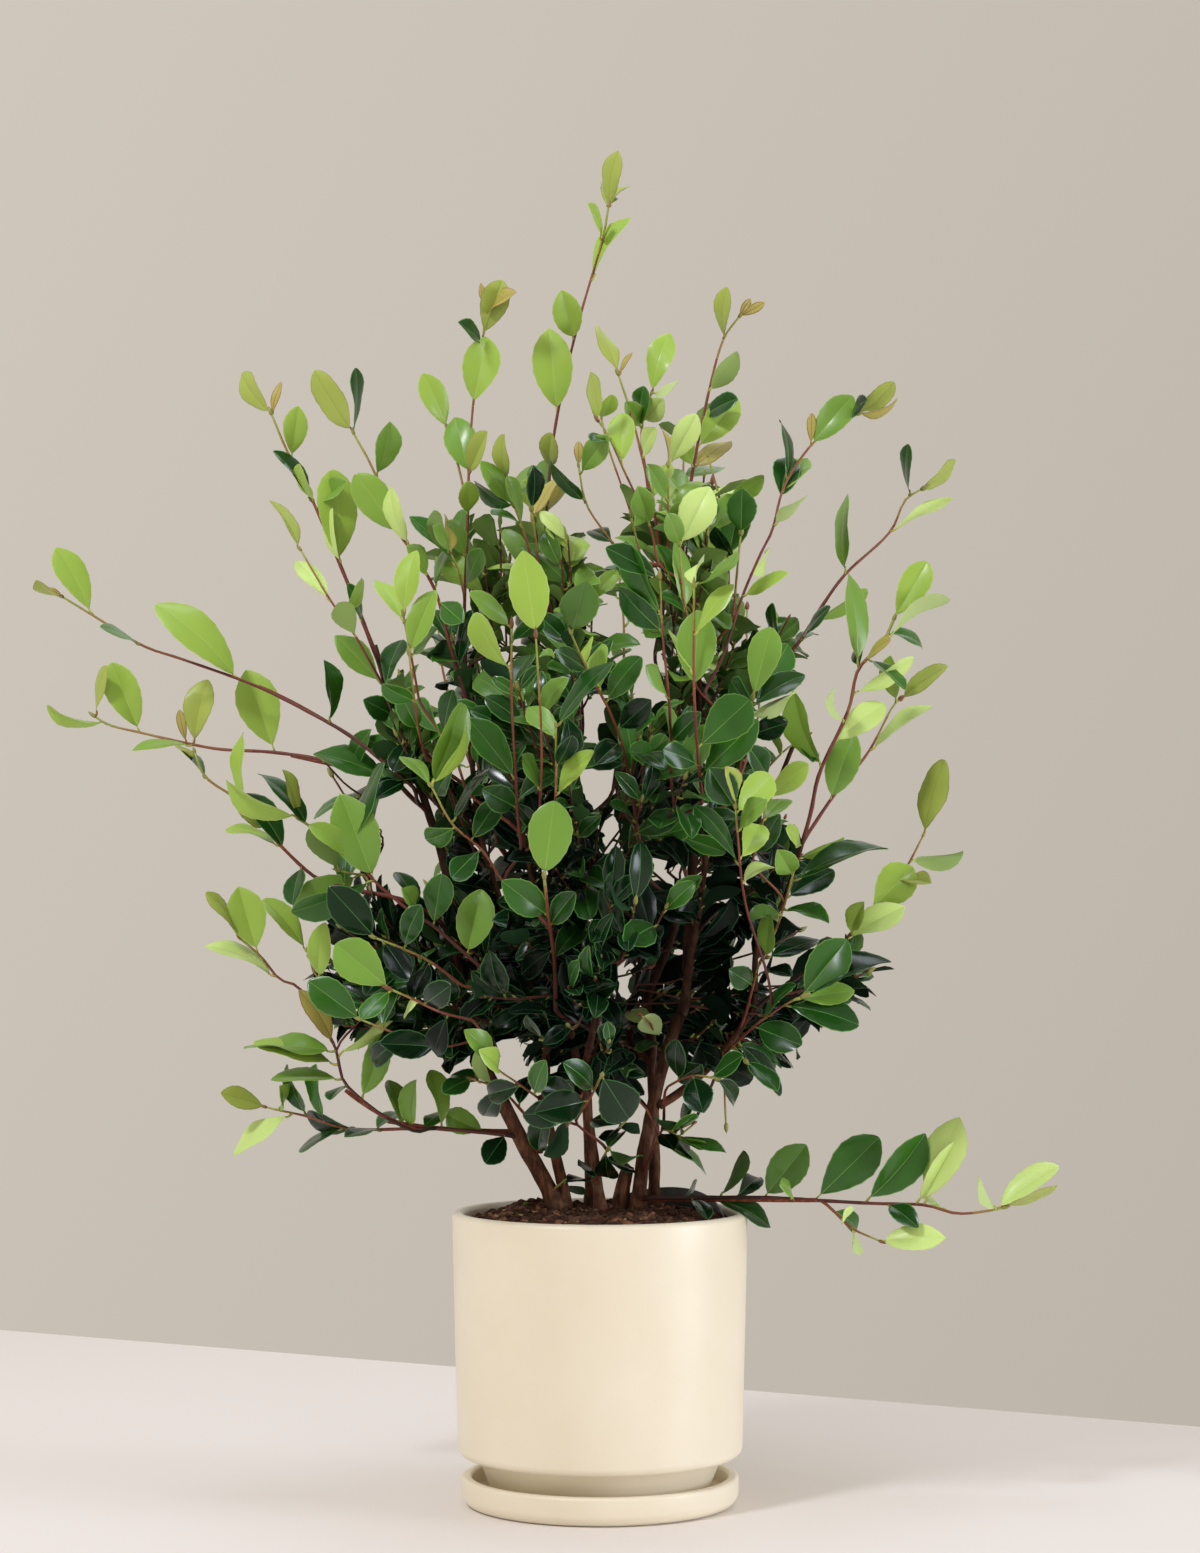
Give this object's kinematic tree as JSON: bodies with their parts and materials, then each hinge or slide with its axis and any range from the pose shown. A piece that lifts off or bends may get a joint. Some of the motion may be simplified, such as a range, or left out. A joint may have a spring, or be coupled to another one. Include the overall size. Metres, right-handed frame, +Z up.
{
  "type": "potted camellia shrub",
  "caption": "Bushy camellia shrub with upright leafy shoots and side sprays, growing in a round cream pot that stands on its saucer.",
  "frame": {"origin": "centre of the flat underside of the saucer, on the surface the plant stands on", "axes": "+Z up; +X to the right and +Y to the rear, seen from the side where the long bare-tipped shoots reach left"},
  "size_m": [0.714, 0.5103, 0.947],
  "materials": {
    "cream_glaze": "satin",
    "potting_soil": "matte",
    "black_plastic": "satin",
    "old_bark": "matte",
    "young_bark": "matte",
    "core_foliage": "satin",
    "young_foliage": "satin"
  },
  "bodies": {
    "root": {"front_left_spray": "young_foliage", "front_low_spray": "young_foliage", "front_right_spray": "young_foliage", "grow_pot_rim": "black_plastic", "leader_spray": "young_foliage", "left_fork": "young_bark", "left_stem": "old_bark", "low_left_bough": "young_bark", "low_left_spray": "young_foliage", "low_right_bough": "young_bark", "low_right_spray": "young_foliage", "low_side_right_spray": "young_foliage", "lower_arm_bough": "young_bark", "lower_arm_spray": "young_foliage", "lower_front_mass": "core_foliage", "lower_left_mass": "core_foliage", "lower_left_tip_bough": "young_bark", "lower_left_tip_spray": "young_foliage", "lower_middle_mass": "core_foliage", "lower_rear_mass": "core_foliage", "lower_right_mass": "core_foliage", "middle_core_mass": "core_foliage", "middle_front_mass": "core_foliage", "middle_left_mass": "core_foliage", "middle_rear_mass": "core_foliage", "middle_right_mass": "core_foliage", "middle_stem": "old_bark", "outer_left_spray": "young_foliage", "outer_right_spray": "young_foliage", "pot": "cream_glaze", "rear_left_spray": "young_foliage", "rear_low_spray": "young_foliage", "rear_right_spray": "young_foliage", "rear_right_stem": "old_bark", "rear_stem": "old_bark", "right_fork": "young_bark", "right_stem": "old_bark", "saucer": "cream_glaze", "shoulder_left_spray": "young_foliage", "shoulder_right_spray": "young_foliage", "side_left_spray": "young_foliage", "side_right_spray": "young_foliage", "soil": "potting_soil", "top_left_spray": "young_foliage", "top_middle_spray": "young_foliage", "top_right_spray": "young_foliage", "upper_arm_bough": "young_bark", "upper_arm_spray": "young_foliage", "upper_front_spray": "young_foliage", "upper_left_mass": "core_foliage", "upper_middle_mass": "core_foliage", "upper_rear_spray": "young_foliage", "upper_right_mass": "core_foliage", "waist_left_spray": "young_foliage", "waist_right_spray": "young_foliage"}
  },
  "joints": []
}
